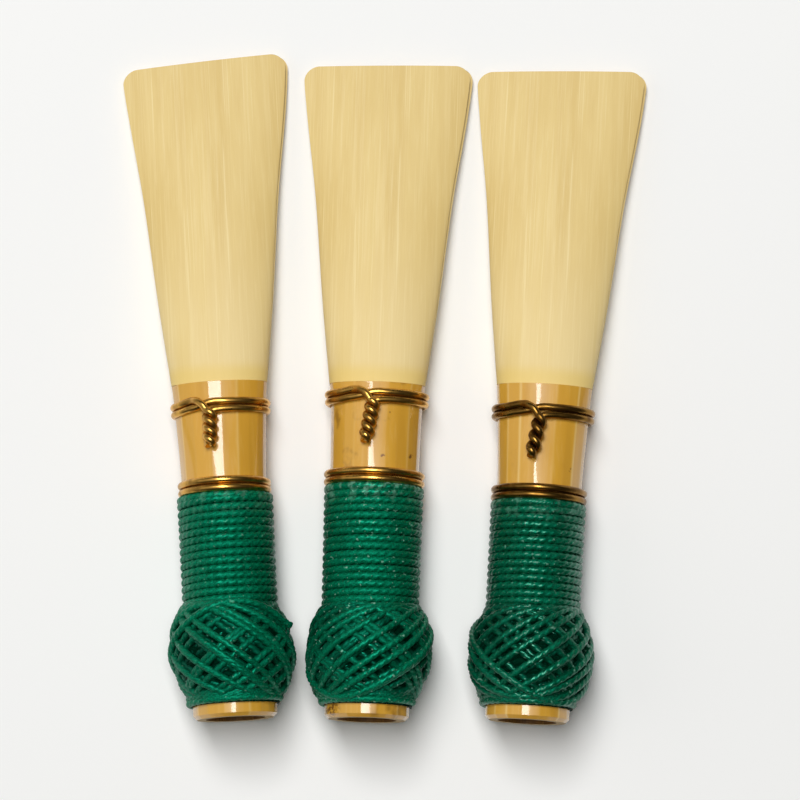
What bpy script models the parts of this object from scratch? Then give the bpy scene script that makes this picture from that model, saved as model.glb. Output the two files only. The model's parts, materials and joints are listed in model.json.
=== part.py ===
"""A set of three bassoon reeds lying side by side on a flat surface.

Each reed is built in its own frame: +Y runs from the butt to the tip, +X across the blades and +Z
out through the upper blade, with the middle of the butt's end face at the origin.  An empty for
each reed then lays it down on its ball of thread and on the edge of its tip.  All sizes are metres.
"""

import math
from dataclasses import dataclass

import bmesh
import bpy
from mathutils import Vector

MM = 0.001
SET_NAME = "bassoon_reeds"

# Cane tube: round at the butt, oval at the first wire.
BUTT_DIAMETER = 7.25 * MM
BORE_DIAMETER = 5.1 * MM
BUTT_CHAMFER = 0.3 * MM
THROAT_HEIGHT = 7.0 * MM
THROAT_WALL = 1.2 * MM
FIRST_WIRE_WIDTH = 7.95 * MM
FIRST_WIRE_HEIGHT = 5.5 * MM
COLLAR_STATION = 29.0 * MM
COLLAR_WIDTH = 8.3 * MM
COLLAR_HEIGHT = 5.1 * MM
COLLAR_WALL = 1.15 * MM

# Scraped blades: an arch at the collar that flattens towards a thin tip.
BARK_STEP = 0.2 * MM
BLADE_ROOT_THICKNESS = 0.95 * MM
TIP_THICKNESS = 0.13 * MM
TIP_ARCH = 0.42 * MM
TIP_EDGE_WIDTH = 0.45 * MM
TIP_CORNER_RADIUS = 1.3 * MM
SLANT_REACH = 5.0 * MM
EDGE_LIP = 0.04 * MM
TUBE_ROUNDNESS = 0.5
TIP_ROUNDNESS = 0.9
# Share of the blade's length against share of its widening, from the collar to the tip.
BLADE_FLARE = ((0.0, 0.0), (0.26, 0.28), (0.58, 0.57), (0.83, 0.88), (0.95, 1.0), (1.0, 1.0))

# How far each blade closes, and the gaps that leave room for it.
CLOSE_DEG = 0.45
CLOSE_SPARE_DEG = 0.05
SEAM_GAP = 0.06 * MM
COLLAR_GAP = 0.3 * MM

# Soft brass wire, and the thread.
WIRE_DIAMETER = 0.64 * MM
WIRE_CLEARANCE = 0.09 * MM
TURN_GAP = 0.06 * MM
TWIST_GAP = 0.08 * MM
PITCH_IN_WIRES = 2.8
UNDERSIDE_TWIST_DEG = 137.0
UNDERSIDE_TWIST_LENGTH = 3.0 * MM
THREAD_THICKNESS = 0.42 * MM
THREAD_CLEARANCE = 0.09 * MM
THREAD_END_GAP = 0.12 * MM
BALL_START = 1.1 * MM
BALL_END = 10.2 * MM
BALL_STATION = 5.9 * MM
BALL_LIP = 0.3 * MM
BALL_FULLNESS = 0.7

# How the reeds lie beside each other.
LEFT_BALL_GAP = 0.3 * MM
RIGHT_BALL_GAP = 2.3 * MM
LEAST_TIP_GAP = 0.5 * MM

# Facets.
ARCH_POINTS = 9
POINTS_PER_TURN = 20
HIDDEN_POINTS_PER_TURN = 16
POINTS_PER_TWIST = 8
SLEEVE_SIDES = 24
BALL_SIDES = 28
BALL_STEPS = 10


@dataclass(frozen=True)
class Reed:
    """What differs from one reed to the next: lengths in metres, angles in degrees."""

    name: str
    yaw: float
    roll: float
    butt_y: float
    length: float
    throat_width: float
    tip_width: float
    tip_slant: float
    slip: float
    ball_diameter: float
    wire_drop: float
    wire_spacing: float
    twist_side: float
    twist_slant: float
    twist_length: float

    @property
    def blade_length(self):
        return self.length - COLLAR_STATION

    @property
    def first_wire(self):
        """The first wire's station, a little below the collar."""
        return COLLAR_STATION - self.wire_drop

    @property
    def second_wire(self):
        """The second wire's station, where the tube changes from round to oval."""
        return self.first_wire - self.wire_spacing


LEFT = Reed(
    name="left",
    yaw=3.1,
    roll=0.0,
    butt_y=0.1 * MM,
    length=57.5 * MM,
    throat_width=7.35 * MM,
    tip_width=14.2 * MM,
    tip_slant=3.7,
    slip=0.2 * MM,
    ball_diameter=11.25 * MM,
    wire_drop=2.2 * MM,
    wire_spacing=6.9 * MM,
    twist_side=-0.74 * MM,
    twist_slant=2.0,
    twist_length=2.6 * MM,
)
MIDDLE = Reed(
    name="middle",
    yaw=-1.8,
    roll=-1.0,
    butt_y=0.0,
    length=57.2 * MM,
    throat_width=7.65 * MM,
    tip_width=14.45 * MM,
    tip_slant=1.8,
    slip=0.25 * MM,
    ball_diameter=11.6 * MM,
    wire_drop=1.3 * MM,
    wire_spacing=6.95 * MM,
    twist_side=-0.2 * MM,
    twist_slant=8.0,
    twist_length=3.2 * MM,
)
RIGHT = Reed(
    name="right",
    yaw=-3.3,
    roll=-1.5,
    butt_y=-0.15 * MM,
    length=56.9 * MM,
    throat_width=7.3 * MM,
    tip_width=14.5 * MM,
    tip_slant=3.0,
    slip=0.25 * MM,
    ball_diameter=11.25 * MM,
    wire_drop=2.45 * MM,
    wire_spacing=7.05 * MM,
    twist_side=-0.26 * MM,
    twist_slant=9.0,
    twist_length=3.2 * MM,
)

BARK = ("cane_bark", (0.78, 0.56, 0.24), 0.35, 0.0)
BLADE = ("scraped_cane", (0.87, 0.78, 0.52), 0.6, 0.0)
BRASS = ("soft_brass", (0.72, 0.52, 0.2), 0.3, 1.0)
THREAD = ("green_thread", (0.01, 0.26, 0.14), 0.7, 0.0)


def smoothstep(t):
    t = min(max(t, 0.0), 1.0)
    return t * t * (3.0 - 2.0 * t)


def mix(a, b, t):
    return a + (b - a) * t


def through(stations, y):
    """The value at y of a smooth curve through (place, value) stations, level beyond its ends."""
    if y <= stations[0][0]:
        return stations[0][1]
    if y >= stations[-1][0]:
        return stations[-1][1]
    i = next(k for k in range(len(stations) - 1) if y <= stations[k + 1][0])
    (y0, v0), (y1, v1) = stations[i], stations[i + 1]
    slopes = []
    for k in (i, i + 1):
        before, after = stations[max(k - 1, 0)], stations[min(k + 1, len(stations) - 1)]
        slopes.append((after[1] - before[1]) / (after[0] - before[0]))
    span = y1 - y0
    t = (y - y0) / span
    bend = (1 - t) * ((1 - t) * slopes[0] - t * slopes[1]) * t * span
    return mix(v0, v1, smoothstep(t)) + bend


# The cane's own shape, station by station.


def tube_half_width(reed, y):
    stations = (
        (0.0, BUTT_DIAMETER / 2),
        (reed.second_wire, reed.throat_width / 2),
        (reed.first_wire, FIRST_WIRE_WIDTH / 2),
        (COLLAR_STATION, COLLAR_WIDTH / 2),
    )
    return through(stations, y)


def tube_half_height(reed, y):
    stations = (
        (0.0, BUTT_DIAMETER / 2),
        (reed.second_wire, THROAT_HEIGHT / 2),
        (reed.first_wire, FIRST_WIRE_HEIGHT / 2),
        (COLLAR_STATION, COLLAR_HEIGHT / 2),
    )
    return through(stations, y)


def tube_wall(reed, y):
    butt_wall = (BUTT_DIAMETER - BORE_DIAMETER) / 2
    stations = ((0.0, butt_wall), (reed.second_wire, THROAT_WALL), (COLLAR_STATION, COLLAR_WALL))
    return through(stations, y)


def blade_share(reed, y):
    return min(max((y - COLLAR_STATION) / reed.blade_length, 0.0), 1.0)


def blade_half_width(reed, y):
    flare = through(BLADE_FLARE, blade_share(reed, y))
    return mix(COLLAR_WIDTH, reed.tip_width, flare) / 2


def edge_gap(y):
    """Half the gap between the two blades' side edges, which opens towards the tip."""
    opening = math.tan(math.radians(CLOSE_DEG + CLOSE_SPARE_DEG))
    return SEAM_GAP / 2 + max(y - COLLAR_STATION, 0.0) * opening


def tip_half_height(reed):
    return edge_gap(reed.length) + EDGE_LIP + TIP_ARCH


def blade_half_height(reed, y):
    root = COLLAR_HEIGHT / 2 - BARK_STEP
    return mix(tip_half_height(reed), root, (1 - blade_share(reed, y)) ** 1.25)


def corner_cut(reed, y):
    """How much the rounded tip corner takes off each side at station y."""
    past = y - (reed.length - TIP_CORNER_RADIUS)
    if past <= 0:
        return 0.0
    return TIP_CORNER_RADIUS - math.sqrt(max(TIP_CORNER_RADIUS**2 - past**2, 0.0))


def arch_section(half_width, half_height, wall, edge, roundness, base, cut):
    """The outer and inner (x, z) points of a cane half that rises from the plane z = base."""
    reach = half_width - cut
    inner_half_width = half_width - edge
    inner_reach = min(inner_half_width, reach - 2 * EDGE_LIP)
    outer_rise = half_height - base - EDGE_LIP
    inner_rise = half_height - wall - base

    def rise(x, whole, height):
        return height * max(1 - (x / whole) ** 2, 0.0) ** roundness

    angles = [math.pi * (k / (ARCH_POINTS - 1) - 0.5) for k in range(ARCH_POINTS)]
    outer = []
    for angle in angles:
        x = reach * math.sin(angle)
        outer.append((x, base + EDGE_LIP + rise(x, half_width, outer_rise)))
    foot = base + rise(min(reach, inner_half_width), inner_half_width, inner_rise)
    outer = [(-reach, foot), *outer, (reach, foot)]
    inner = []
    for k in range(ARCH_POINTS + 2):
        x = inner_reach * math.sin(math.pi * (k / (ARCH_POINTS + 1) - 0.5))
        inner.append((x, base + rise(x, inner_half_width, inner_rise)))
    return outer, inner


def tube_section(reed, y):
    chamfer = BUTT_CHAMFER if y == 0 else 0.0
    wall = tube_wall(reed, y) - chamfer
    return arch_section(
        tube_half_width(reed, y) - chamfer,
        tube_half_height(reed, y) - chamfer,
        wall,
        wall,
        TUBE_ROUNDNESS,
        SEAM_GAP / 2,
        0.0,
    )


def blade_section(reed, y):
    share = blade_share(reed, y)
    return arch_section(
        blade_half_width(reed, y),
        blade_half_height(reed, y),
        mix(TIP_THICKNESS, BLADE_ROOT_THICKNESS, 1 - share),
        mix(TIP_EDGE_WIDTH, BLADE_ROOT_THICKNESS, 1 - share),
        mix(TUBE_ROUNDNESS, TIP_ROUNDNESS, share),
        edge_gap(y),
        corner_cut(reed, y),
    )


def ball_radius(reed, y):
    """The ball's outer radius: full in the middle and drawn in to the thread at both ends."""
    end = wrap_half_size(reed, BALL_END, THREAD_CLEARANCE + THREAD_THICKNESS)[0]
    start = BUTT_DIAMETER / 2 + BALL_LIP
    low, reach = (start, BALL_STATION - BALL_START)
    if y > BALL_STATION:
        low, reach = (end, BALL_END - BALL_STATION)
    share = min(abs(y - BALL_STATION) / reach, 1.0)
    return low + (reed.ball_diameter / 2 - low) * math.cos(math.pi / 2 * share) ** BALL_FULLNESS


def wrap_half_size(reed, y, cover):
    """The half width and half height of the thread's sleeve, this far out from the bark."""
    return tube_half_width(reed, y) + cover, tube_half_height(reed, y) + cover


# Mesh and object helpers.


def make_material(spec):
    name, color, roughness, metallic = spec
    found = bpy.data.materials.get(name)
    if found:
        return found
    made = bpy.data.materials.new(name)
    made.use_nodes = True
    shader = made.node_tree.nodes["Principled BSDF"]
    shader.inputs["Base Color"].default_value = (*color, 1.0)
    shader.inputs["Roughness"].default_value = roughness
    shader.inputs["Metallic"].default_value = metallic
    return made


def place(obj, spec, parent, collection, location=(0.0, 0.0, 0.0)):
    obj.data.materials.append(make_material(spec))
    obj.parent = parent
    obj.location = location
    collection.objects.link(obj)
    return obj


def loft(name, rings, side):
    """A closed mesh through rings of (outer points, inner points), flipped over for side -1."""
    bm = bmesh.new()
    loops = []
    for outer, inner in rings:
        loop = [bm.verts.new((x, y, side * z)) for x, y, z in (*outer, *reversed(inner))]
        loops.append(loop)
    count = len(loops[0])
    for near, far in zip(loops, loops[1:]):
        for k in range(count):
            bm.faces.new((near[k], near[(k + 1) % count], far[(k + 1) % count], far[k]))
    for loop in (loops[0], loops[-1]):
        for k in range(count // 2 - 1):
            bm.faces.new((loop[k], loop[k + 1], loop[-k - 2], loop[-k - 1]))
    bmesh.ops.recalc_face_normals(bm, faces=bm.faces)
    mesh = bpy.data.meshes.new(name)
    bm.to_mesh(mesh)
    bm.free()
    mesh.shade_smooth()
    mesh.set_sharp_from_angle(angle=math.radians(40))
    return mesh


def sleeve(name, rings):
    """A closed tube through rings of (outer loop, inner loop) that go right round."""
    bm = bmesh.new()
    made = [[[bm.verts.new(p) for p in loop] for loop in ring] for ring in rings]
    for (near_out, near_in), (far_out, far_in) in zip(made, made[1:]):
        for near, far in ((near_out, far_out), (near_in, far_in)):
            for k in range(len(near)):
                n = (k + 1) % len(near)
                bm.faces.new((near[k], near[n], far[n], far[k]))
    for outer, inner in (made[0], made[-1]):
        for k in range(len(outer)):
            n = (k + 1) % len(outer)
            bm.faces.new((outer[k], outer[n], inner[n], inner[k]))
    bmesh.ops.recalc_face_normals(bm, faces=bm.faces)
    mesh = bpy.data.meshes.new(name)
    bm.to_mesh(mesh)
    bm.free()
    mesh.shade_smooth()
    mesh.set_sharp_from_angle(angle=math.radians(40))
    return mesh


def wire_curve(name, points):
    """A round wire along the points, with its ends closed."""
    curve = bpy.data.curves.new(name, "CURVE")
    curve.dimensions = "3D"
    curve.bevel_depth = WIRE_DIAMETER / 2
    curve.bevel_resolution = 2
    curve.use_fill_caps = True
    spline = curve.splines.new("POLY")
    spline.points.add(len(points) - 1)
    for point, place_on in zip(spline.points, points):
        point.co = (*place_on, 1.0)
    return bpy.data.objects.new(name, curve)


# Sub-parts.


def spaced(start, end, count):
    return [mix(start, end, k / (count - 1)) for k in range(count)]


def make_tube_half(reed, side, label, parent, collection):
    """One half of the tube, from the chamfered butt to the collar."""
    top = COLLAR_STATION - COLLAR_GAP / 2
    stations = [0.0, BUTT_CHAMFER, *spaced(BALL_STATION, reed.second_wire, 4)]
    stations += [*spaced(mix(reed.second_wire, reed.first_wire, 0.5), top, 3)]
    rings = []
    for y in stations:
        outer, inner = tube_section(reed, y)
        rings.append([[(x, y, z) for x, z in points] for points in (outer, inner)])
    name = f"{reed.name}_{label}_tube"
    obj = bpy.data.objects.new(name, loft(name, rings, side))
    return place(obj, BARK, parent, collection)


def make_blade(reed, side, label, parent, collection):
    """One scraped blade, with its origin on the hinge line at the collar."""
    start = COLLAR_STATION + COLLAR_GAP / 2
    corner = reed.length - TIP_CORNER_RADIUS
    arc = [corner + TIP_CORNER_RADIUS * math.sin(math.radians(a)) for a in (30, 60, 90)]
    lean = math.tan(math.radians(reed.tip_slant))
    slip = reed.slip if side < 0 else 0.0
    rings = []
    for y in (*spaced(start, corner, 7), *arc):
        slant = lean * smoothstep(1 - (reed.length - y) / SLANT_REACH)
        shift = slip * blade_share(reed, y)
        ring = []
        for points in blade_section(reed, y):
            ring.append([(x + shift, y + x * slant - COLLAR_STATION, z) for x, z in points])
        rings.append(ring)
    name = f"{reed.name}_{label}_blade"
    obj = bpy.data.objects.new(name, loft(name, rings, side))
    return place(obj, BLADE, parent, collection, (0.0, COLLAR_STATION, 0.0))


def bark_point(reed, y, turn, height):
    """A point this far out from the bark; turn is 0 at the top and grows towards +X."""
    a, b = tube_half_width(reed, y), tube_half_height(reed, y)
    normal = Vector((math.sin(turn) / a, 0.0, math.cos(turn) / b)).normalized()
    return Vector((a * math.sin(turn), y, b * math.cos(turn))) + height * normal


def twist_strand(centre_side, drop, height, slant, length, phase):
    """(across, along, height) points of one strand of a twisted tail, from its root down."""
    radius = (WIRE_DIAMETER + TWIST_GAP) / 2
    pitch = PITCH_IN_WIRES * WIRE_DIAMETER
    count = max(round(POINTS_PER_TWIST * length / pitch), 4)
    points = []
    for k in range(count + 1):
        down = length * k / count
        angle = phase + 2 * math.pi * down / pitch
        across = centre_side - down * math.tan(slant) + radius * math.cos(angle)
        points.append((across, -drop - down, height + radius * math.sin(angle)))
    return points


def two_turns(reed, station, centre, side, points_per_turn, leave):
    """The two rows round the tube: low row first, then over the top into the high row."""
    row = WIRE_DIAMETER + TURN_GAP
    height = WIRE_DIAMETER / 2 + WIRE_CLEARANCE
    around = tube_half_width(reed, station)
    start = centre + (side + leave) / around
    end = centre + (side - leave) / around + 4 * math.pi
    middle = centre + side / around + 2 * math.pi
    crossing = 1.9 * WIRE_DIAMETER / around
    count = round(2 * points_per_turn * (end - start) / (4 * math.pi))
    turns = [start + (end - start) * k / count for k in range(count + 1)]
    half = math.pi
    turns = [t for t in turns if abs(t - middle) > crossing * 1.2 or abs(t - middle) > half]
    turns += [middle + crossing * s for s in (-1.0, -0.35, 0.35, 1.0)]
    points = []
    for turn in sorted(turns):
        rise = smoothstep((turn - middle) / (2 * crossing) + 0.5)
        points.append(bark_point(reed, station + row * (rise - 0.5), turn, height))
    return points


def make_tied_wire(reed, station, label, centre, side, slant, length, cover, parent, collection):
    """A wire of two turns with its ends twisted together and laid down towards the butt."""
    row = WIRE_DIAMETER + TURN_GAP
    low = WIRE_DIAMETER / 2 + WIRE_CLEARANCE
    strand = (WIRE_DIAMETER + TWIST_GAP) / 2
    root = cover + strand + WIRE_DIAMETER / 2 + WIRE_CLEARANCE
    over = low + WIRE_DIAMETER + TWIST_GAP
    leave = 3.1 * WIRE_DIAMETER
    drop = row / 2 + 1.1 * WIRE_DIAMETER
    around = tube_half_width(reed, station)
    tail = math.radians(slant)
    first = twist_strand(side, drop, root, tail, length, 0.0)
    second = twist_strand(side, drop, root, tail, length, math.pi)
    # In wire diameters: how far across and along, and the share of the climb from the bark.
    lead_in = [
        (side + 1.17 * WIRE_DIAMETER, -row / 2 - 0.6 * WIRE_DIAMETER, mix(low, root, 0.75)),
        (side + 2.1 * WIRE_DIAMETER, -row / 2 - 0.08 * WIRE_DIAMETER, mix(low, root, 0.4)),
    ]
    lead_out = [
        (side - 2.03 * WIRE_DIAMETER, row / 2 + 0.08 * WIRE_DIAMETER, mix(low, over, 0.35)),
        (side - 1.17 * WIRE_DIAMETER, 0.3 * row, over),
        (side - 0.7 * WIRE_DIAMETER, -0.7 * row, max(over, root)),
    ]

    def on_bark(points):
        placed = []
        for across, along, height in points:
            turn = centre + across / around
            placed.append(bark_point(reed, station + along, turn, height))
        return placed

    path = on_bark([*reversed(first), *lead_in])
    path += two_turns(reed, station, centre, side, POINTS_PER_TURN, leave)
    path += on_bark([*lead_out, *second])
    obj = wire_curve(f"{reed.name}_{label}_wire", path)
    return place(obj, BRASS, parent, collection)


def make_third_wire(reed, parent, collection):
    """The wire under the ball: two plain turns, wound as a close coil."""
    pitch = WIRE_DIAMETER + TURN_GAP
    height = WIRE_DIAMETER / 2 + WIRE_CLEARANCE
    count = 2 * HIDDEN_POINTS_PER_TURN
    path = []
    for k in range(count + 1):
        turn = 2 * math.pi * k / HIDDEN_POINTS_PER_TURN
        along = pitch * (2 * k / count - 1)
        path.append(bark_point(reed, BALL_STATION + along, turn, height))
    obj = wire_curve(f"{reed.name}_third_wire", path)
    return place(obj, BRASS, parent, collection)


def oval_loop(half_width, y, half_height):
    loop = []
    for k in range(SLEEVE_SIDES):
        turn = 2 * math.pi * k / SLEEVE_SIDES
        loop.append((half_width * math.sin(turn), y, half_height * math.cos(turn)))
    return loop


def make_thread_wrap(reed, parent, collection):
    """The close spiral of thread as a sleeve from the ball up to the second wire."""
    row = WIRE_DIAMETER + TURN_GAP
    top = reed.second_wire - row / 2 - WIRE_DIAMETER / 2 - THREAD_END_GAP
    rings = []
    for y in spaced(BALL_END + THREAD_END_GAP, top, 4):
        inner = wrap_half_size(reed, y, THREAD_CLEARANCE)
        outer = wrap_half_size(reed, y, THREAD_CLEARANCE + THREAD_THICKNESS)
        rings.append([oval_loop(outer[0], y, outer[1]), oval_loop(inner[0], y, inner[1])])
    name = f"{reed.name}_thread_wrap"
    obj = bpy.data.objects.new(name, sleeve(name, rings))
    return place(obj, THREAD, parent, collection)


def ball_profile(reed):
    """(radius, station) points round the ball's wall, with a groove inside for the third wire."""
    outer = [(ball_radius(reed, y), y) for y in spaced(BALL_END, BALL_START, BALL_STEPS)]
    widest = max(tube_half_width(reed, y) for y in (BALL_START, BALL_STATION, BALL_END))
    bore = widest + THREAD_CLEARANCE
    wire_top = tube_half_width(reed, BALL_STATION) + WIRE_CLEARANCE + WIRE_DIAMETER
    groove = wire_top + 2 * THREAD_CLEARANCE
    half = 1.5 * WIRE_DIAMETER + TURN_GAP + WIRE_CLEARANCE
    low, high = BALL_STATION - half, BALL_STATION + half
    inner = [(bore, BALL_START), (bore, low), (groove, low), (groove, high), (bore, high)]
    return [*outer, *inner, (bore, BALL_END)]


def make_thread_ball(reed, parent, collection):
    """The ball of crossed thread, turned about the reed's axis."""
    name = f"{reed.name}_thread_ball"
    bm = bmesh.new()
    points = [bm.verts.new((r, y, 0.0)) for r, y in ball_profile(reed)]
    for a, b in zip(points, [*points[1:], points[0]]):
        bm.edges.new((a, b))
    mesh = bpy.data.meshes.new(name)
    bm.to_mesh(mesh)
    bm.free()
    obj = bpy.data.objects.new(name, mesh)
    turned = obj.modifiers.new("turned", "SCREW")
    turned.axis = "Y"
    turned.steps = BALL_SIDES
    turned.render_steps = BALL_SIDES
    turned.use_merge_vertices = True
    turned.merge_threshold = 0.00001
    turned.use_smooth_shade = True
    return place(obj, THREAD, parent, collection)


def make_reed(reed, collection):
    """All of one reed's pieces, in its own frame, under one empty."""
    frame = bpy.data.objects.new(f"{reed.name}_reed", None)
    frame.empty_display_size = 5 * MM
    collection.objects.link(frame)
    for side, label in ((1, "upper"), (-1, "lower")):
        make_tube_half(reed, side, label, frame, collection)
        make_blade(reed, side, label, frame, collection)
    make_tied_wire(
        reed, reed.first_wire, "first", 0.0, reed.twist_side, reed.twist_slant,
        reed.twist_length, 0.0, frame, collection,
    )
    make_tied_wire(
        reed, reed.second_wire, "second", math.radians(UNDERSIDE_TWIST_DEG), 0.0, 0.0,
        UNDERSIDE_TWIST_LENGTH, THREAD_THICKNESS + THREAD_CLEARANCE, frame, collection,
    )
    make_third_wire(reed, frame, collection)
    make_thread_wrap(reed, frame, collection)
    make_thread_ball(reed, frame, collection)
    return frame


# Laying the reeds down.


def lying_tilt(reed):
    """The angle between the reed's axis and the surface, on the ball and the tip or first wire."""
    wire = tube_half_height(reed, reed.first_wire) + WIRE_CLEARANCE + WIRE_DIAMETER
    tilts = []
    for height, y in ((tip_half_height(reed), reed.length), (wire, reed.first_wire)):
        ball = [(ball_radius(reed, on), on) for on in spaced(BALL_START, BALL_END, 60)]
        tilts.append(max(math.atan2(radius - height, y - on) for radius, on in ball))
    return min(tilts)


def spacing(left, right, ball_gap):
    """The distance across from one butt to the next, which keeps both balls and tips apart."""
    leans = [math.sin(math.radians(reed.yaw)) for reed in (left, right)]
    balls = (left.ball_diameter + right.ball_diameter) / 2 + ball_gap
    balls += (leans[1] - leans[0]) * BALL_STATION
    tips = (left.tip_width + right.tip_width) / 2 + left.slip + LEAST_TIP_GAP
    tips += leans[1] * right.length - leans[0] * left.length
    return max(balls, tips)


def world_points(objects):
    graph = bpy.context.evaluated_depsgraph_get()
    for obj in objects:
        if obj.type == "EMPTY":
            continue
        shown = obj.evaluated_get(graph)
        mesh = shown.to_mesh()
        for vertex in mesh.vertices:
            yield shown.matrix_world @ vertex.co
        shown.to_mesh_clear()


def lay_down(frame, reed, butt_x):
    """Turns one reed to lie flat, and sets it on the plane z = 0."""
    frame.rotation_mode = "YXZ"
    frame.rotation_euler = (-lying_tilt(reed), math.radians(reed.roll), math.radians(reed.yaw))
    frame.location = (butt_x, reed.butt_y, 0.0)
    bpy.context.view_layer.update()
    frame.location.z -= min(point.z for point in world_points(frame.children))


def centre(frames):
    """Moves the whole set so that its box stands on the origin."""
    bpy.context.view_layer.update()
    points = list(world_points([child for frame in frames for child in frame.children]))
    for axis in (0, 1):
        values = [point[axis] for point in points]
        for frame in frames:
            frame.location[axis] -= (min(values) + max(values)) / 2


def main():
    for obj in list(bpy.data.objects):
        bpy.data.objects.remove(obj, do_unlink=True)
    collection = bpy.data.collections.new(SET_NAME)
    bpy.context.scene.collection.children.link(collection)
    butts = {
        LEFT: -spacing(LEFT, MIDDLE, LEFT_BALL_GAP),
        MIDDLE: 0.0,
        RIGHT: spacing(MIDDLE, RIGHT, RIGHT_BALL_GAP),
    }
    frames = []
    for reed, butt_x in butts.items():
        frame = make_reed(reed, collection)
        lay_down(frame, reed, butt_x)
        frames.append(frame)
    centre(frames)
    bpy.context.view_layer.update()


main()
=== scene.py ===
"""Three bassoon reeds in cane, brass wire and green thread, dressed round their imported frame.

Each reed is made in its own frame, in metres: +Y runs from the butt to the tip, +X across the
blades and +Z out through the upper blade, with the middle of the butt's face at the origin. The
frame's joints and mounts then say where each reed lies.
"""

import json
import logging
import math
import random
from collections.abc import Callable, Sequence
from dataclasses import dataclass
from enum import Enum

import bmesh
import bpy
from mathutils import Matrix, Vector, noise
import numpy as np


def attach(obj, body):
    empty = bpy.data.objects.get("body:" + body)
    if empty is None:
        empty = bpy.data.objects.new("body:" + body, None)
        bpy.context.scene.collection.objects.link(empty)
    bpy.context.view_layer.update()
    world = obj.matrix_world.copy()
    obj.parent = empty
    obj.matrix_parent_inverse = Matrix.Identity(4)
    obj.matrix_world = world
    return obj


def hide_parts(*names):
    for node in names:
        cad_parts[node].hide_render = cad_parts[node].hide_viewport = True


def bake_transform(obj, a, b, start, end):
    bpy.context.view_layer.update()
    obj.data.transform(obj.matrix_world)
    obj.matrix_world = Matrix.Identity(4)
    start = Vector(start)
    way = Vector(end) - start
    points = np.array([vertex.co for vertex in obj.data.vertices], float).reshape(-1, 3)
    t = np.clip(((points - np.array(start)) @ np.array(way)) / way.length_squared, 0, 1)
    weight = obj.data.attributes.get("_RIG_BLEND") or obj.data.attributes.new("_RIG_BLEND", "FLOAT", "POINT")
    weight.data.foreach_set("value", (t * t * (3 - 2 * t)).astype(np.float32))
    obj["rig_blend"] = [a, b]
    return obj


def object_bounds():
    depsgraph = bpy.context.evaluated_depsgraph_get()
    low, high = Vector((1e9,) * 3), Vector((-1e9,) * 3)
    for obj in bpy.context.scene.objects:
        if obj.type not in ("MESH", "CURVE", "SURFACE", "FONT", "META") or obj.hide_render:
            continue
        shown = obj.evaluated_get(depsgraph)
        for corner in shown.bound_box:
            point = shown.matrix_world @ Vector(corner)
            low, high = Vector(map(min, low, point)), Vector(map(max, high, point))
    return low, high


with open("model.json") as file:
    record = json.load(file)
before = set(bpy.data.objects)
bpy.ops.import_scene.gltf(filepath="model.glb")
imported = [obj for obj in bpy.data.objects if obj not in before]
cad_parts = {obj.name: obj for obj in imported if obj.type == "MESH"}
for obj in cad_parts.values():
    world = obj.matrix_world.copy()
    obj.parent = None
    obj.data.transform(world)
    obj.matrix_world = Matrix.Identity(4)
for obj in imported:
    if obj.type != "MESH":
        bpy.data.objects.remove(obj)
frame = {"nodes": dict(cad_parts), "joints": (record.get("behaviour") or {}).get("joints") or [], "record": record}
cad_low, cad_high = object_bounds()

log = logging.getLogger("bassoon_reeds")

MM = 0.001
FULL_TURN = 2 * math.pi

Curve = Callable[[float], float]
Colour = tuple[float, float, float]


def mix(a: float, b: float, t: float) -> float:
    """The value a share t of the way from a to b."""
    return a + (b - a) * t


def smoothstep(t: float) -> float:
    """An even ease from 0 to 1, level at both ends and beyond them."""
    t = min(max(t, 0.0), 1.0)
    return t * t * (3.0 - 2.0 * t)


def spaced(start: float, end: float, count: int) -> list[float]:
    """Count values from start to end, both ends included."""
    return [mix(start, end, k / (count - 1)) for k in range(count)]


def through(stations: Sequence[tuple[float, float]], place: float) -> float:
    """A smooth curve through (place, value) stations, level beyond its ends.

    Args:
        stations: The (place, value) pairs, in rising order of place.
        place: Where to read the curve.

    Returns:
        The curve's value there.
    """
    if place <= stations[0][0]:
        return stations[0][1]
    if place >= stations[-1][0]:
        return stations[-1][1]
    i = next(k for k in range(len(stations) - 1) if place <= stations[k + 1][0])
    (y0, v0), (y1, v1) = stations[i], stations[i + 1]
    slopes = []
    for k in (i, i + 1):
        before, after = stations[max(k - 1, 0)], stations[min(k + 1, len(stations) - 1)]
        slopes.append((after[1] - before[1]) / (after[0] - before[0]))
    span = y1 - y0
    t = (place - y0) / span
    bend = (1 - t) * ((1 - t) * slopes[0] - t * slopes[1]) * t * span
    return mix(v0, v1, smoothstep(t)) + bend


def wander(place: float, seed: float) -> float:
    """A smooth drift between about -1 and 1 that is the same on every run."""
    return noise.noise(Vector((place, seed, 0.37)))


class Side(Enum):
    """Which half of the split cane a piece belongs to."""

    UPPER = 1
    LOWER = -1

    @property
    def label(self) -> str:
        """The side's name as the frame spells it."""
        return self.name.lower()


class Slot(Enum):
    """The record's material slots."""

    BARK = "cane_bark"
    SCRAPED = "scraped_cane"
    BRASS = "soft_brass"
    THREAD = "green_thread"


# Sizes and form.


@dataclass(frozen=True)
class ReedSizes:
    """What differs from one reed to the next: lengths in metres, angles in degrees."""

    name: str
    length: float
    throat_width: float
    tip_width: float
    tip_slant: float
    slip: float
    ball_diameter: float
    wire_drop: float
    wire_spacing: float
    tail_side: float
    tail_slant: float
    tail_length: float
    tail_pitch: float
    wire_bite: float
    facet_seed: int


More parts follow.
